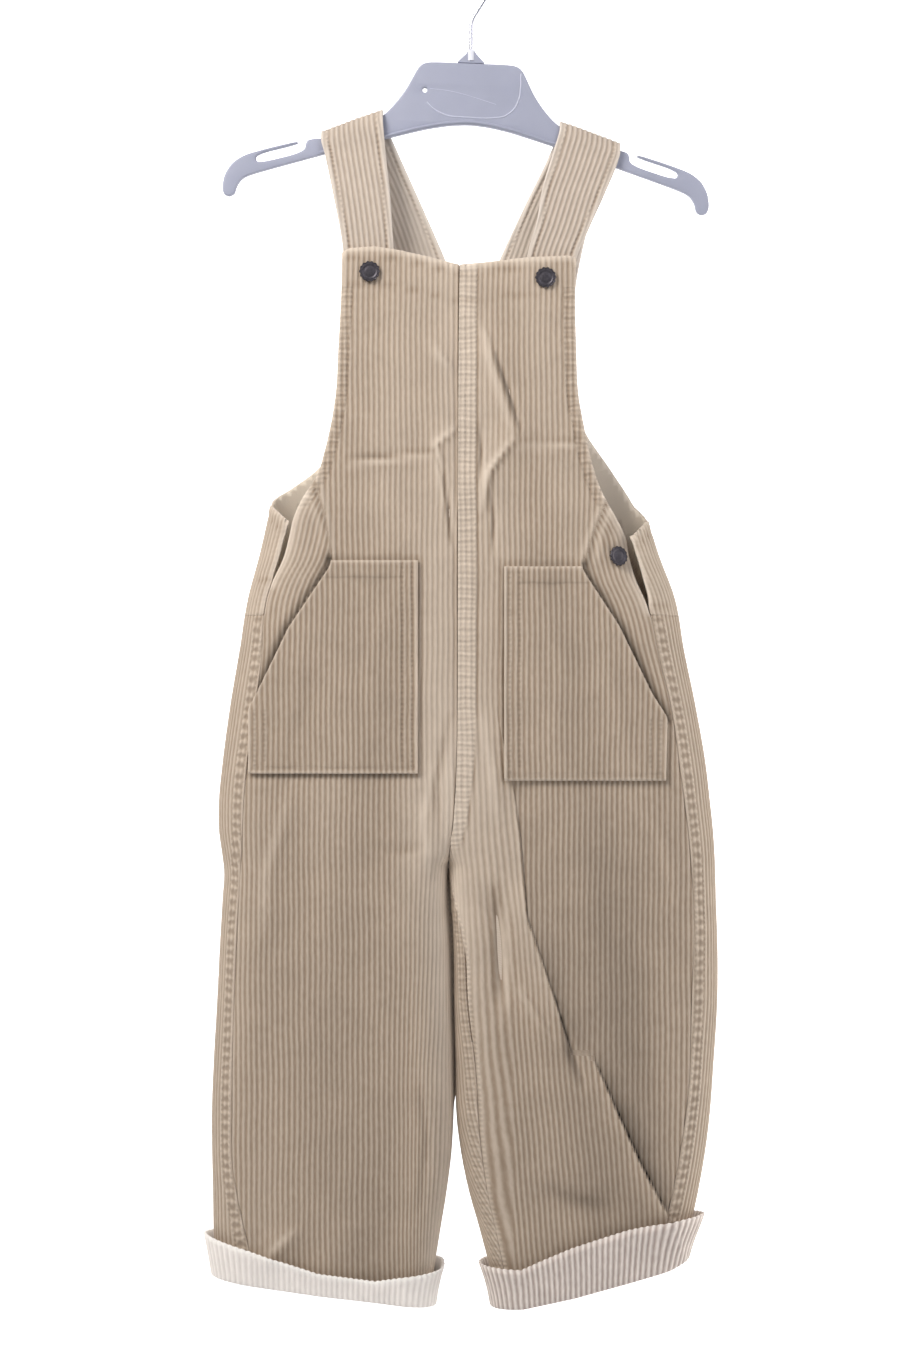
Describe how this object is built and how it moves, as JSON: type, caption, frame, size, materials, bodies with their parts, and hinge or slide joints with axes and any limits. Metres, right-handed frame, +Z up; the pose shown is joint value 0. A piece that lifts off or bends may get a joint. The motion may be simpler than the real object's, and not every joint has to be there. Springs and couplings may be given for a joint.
{
  "type": "child's corduroy bib dungarees on a plastic hanger",
  "caption": "Child's wide-wale corduroy bib dungarees with patch pockets, turned-up legs and wide straps, hanging flat on a plastic hanger with a wire hook.",
  "frame": {"origin": "inner top of the wire hook, where it sits on a rail", "axes": "+Z up; +Y away from the viewer, through the garment from front to back; +X to the viewer's right"},
  "size_m": [0.3071, 0.0544, 0.825],
  "materials": {
    "corduroy": "ribbed pile, dry",
    "snap": "dark gunmetal",
    "hanger": "frosted, slightly see-through",
    "hook": "bright wire"
  },
  "bodies": {
    "root": {"front_panel_left": "corduroy", "front_panel_right": "corduroy", "back_panel_left": "corduroy", "back_panel_right": "corduroy", "side_placket_left": "corduroy", "side_placket_right": "corduroy", "pocket_left": "corduroy", "pocket_right": "corduroy", "cuff_left": "corduroy", "cuff_right": "corduroy", "strap_left": "corduroy", "strap_right": "corduroy", "bib_snap_left": "snap", "bib_snap_right": "snap", "side_snap_right": "snap", "hanger_body": "hanger", "hanger_collar": "hanger", "hanger_hook": "hook"}
  },
  "joints": []
}
